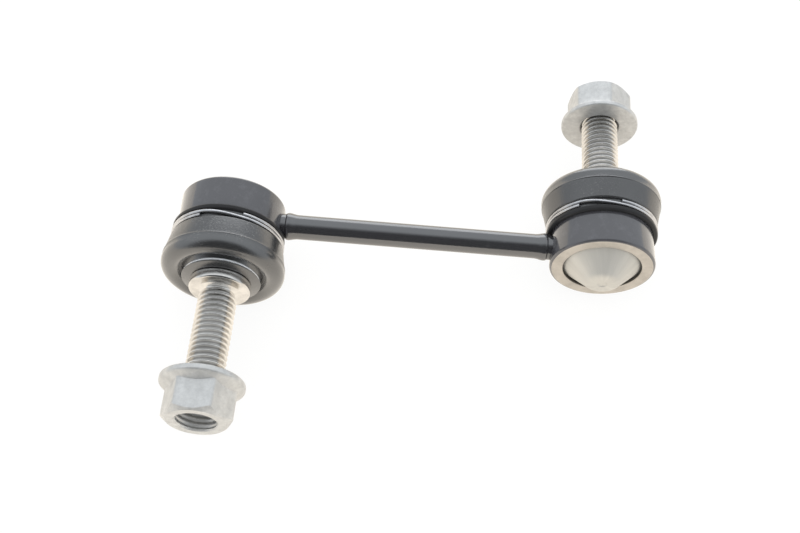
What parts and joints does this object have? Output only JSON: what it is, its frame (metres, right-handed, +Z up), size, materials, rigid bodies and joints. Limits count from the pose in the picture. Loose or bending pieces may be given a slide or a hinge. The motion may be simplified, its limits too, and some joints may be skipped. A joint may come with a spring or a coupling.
{
  "type": "stabilizer link",
  "caption": "Short bar with a rubber-booted ball joint at each end and threaded studs pointing opposite ways, for tying a stabilizer bar to a suspension strut.",
  "frame": {"origin": "midway between the two ball centres, on the bar's axis", "axes": "+X along the bar from ball A to ball B, +Y the way stud B points (stud A points to -Y), +Z up as the link lies on a table"},
  "size_m": [0.1568, 0.1323, 0.0384],
  "materials": {
    "black_paint": "satin black coat",
    "cap_steel": "pressed zinc-plated sheet",
    "seat_plastic": "natural acetal",
    "ball_steel": "polished",
    "stud_steel": "zinc-plated rolled thread",
    "boot_rubber": "moulded matt rubber",
    "clip_wire": "bright spring wire",
    "nut_zinc": "zinc-flake coat"
  },
  "bodies": {
    "link": {"link_rod": "black_paint", "rod_weld_a": "black_paint", "rod_weld_b": "black_paint", "housing_a": "black_paint", "housing_b": "black_paint", "closing_cap_a": "cap_steel", "closing_cap_b": "cap_steel", "ball_seat_a": "seat_plastic", "ball_seat_b": "seat_plastic", "boot_a": "boot_rubber", "boot_b": "boot_rubber", "boot_clip_a": "clip_wire", "boot_clip_b": "clip_wire"},
    "ball_a": {"ball_a": "ball_steel"},
    "neck_ring_a": {"neck_ring_a": "clip_wire"},
    "stud_a": {"stud_a": "stud_steel"},
    "flange_nut_a": {"flange_nut_a": "nut_zinc"},
    "ball_b": {"ball_b": "ball_steel"},
    "neck_ring_b": {"neck_ring_b": "clip_wire"},
    "stud_b": {"stud_b": "stud_steel"},
    "flange_nut_b": {"flange_nut_b": "nut_zinc"}
  },
  "joints": [
    {"name": "stud_a_swing", "type": "hinge", "parent": "link", "child": "ball_a", "pos_m": [-0.05915, 0, 0], "axis": [1, 0, 0], "range_deg": [-18, 18], "deforming": ["boot_a"]},
    {"name": "stud_a_sway", "type": "hinge", "parent": "ball_a", "child": "neck_ring_a", "pos_m": [-0.05915, 0, 0], "axis": [0, 0, 1], "range_deg": [-18, 18], "deforming": ["boot_a"]},
    {"name": "stud_a_spin", "type": "hinge", "parent": "neck_ring_a", "child": "stud_a", "pos_m": [-0.05915, 0, 0], "axis": [0, -1, 0], "continuous": true},
    {"name": "nut_a_travel", "type": "slide", "parent": "stud_a", "child": "flange_nut_a", "axis": [0, -1, 0], "range_m": [-0.0278, 0.0198]},
    {"name": "stud_b_swing", "type": "hinge", "parent": "link", "child": "ball_b", "pos_m": [0.05915, 0, 0], "axis": [1, 0, 0], "range_deg": [-18, 18], "deforming": ["boot_b"]},
    {"name": "stud_b_sway", "type": "hinge", "parent": "ball_b", "child": "neck_ring_b", "pos_m": [0.05915, 0, 0], "axis": [0, 0, 1], "range_deg": [-18, 18], "deforming": ["boot_b"]},
    {"name": "stud_b_spin", "type": "hinge", "parent": "neck_ring_b", "child": "stud_b", "pos_m": [0.05915, 0, 0], "axis": [0, 1, 0], "continuous": true},
    {"name": "nut_b_travel", "type": "slide", "parent": "stud_b", "child": "flange_nut_b", "axis": [0, 1, 0], "range_m": [-0.0213, 0.0263]}
  ]
}
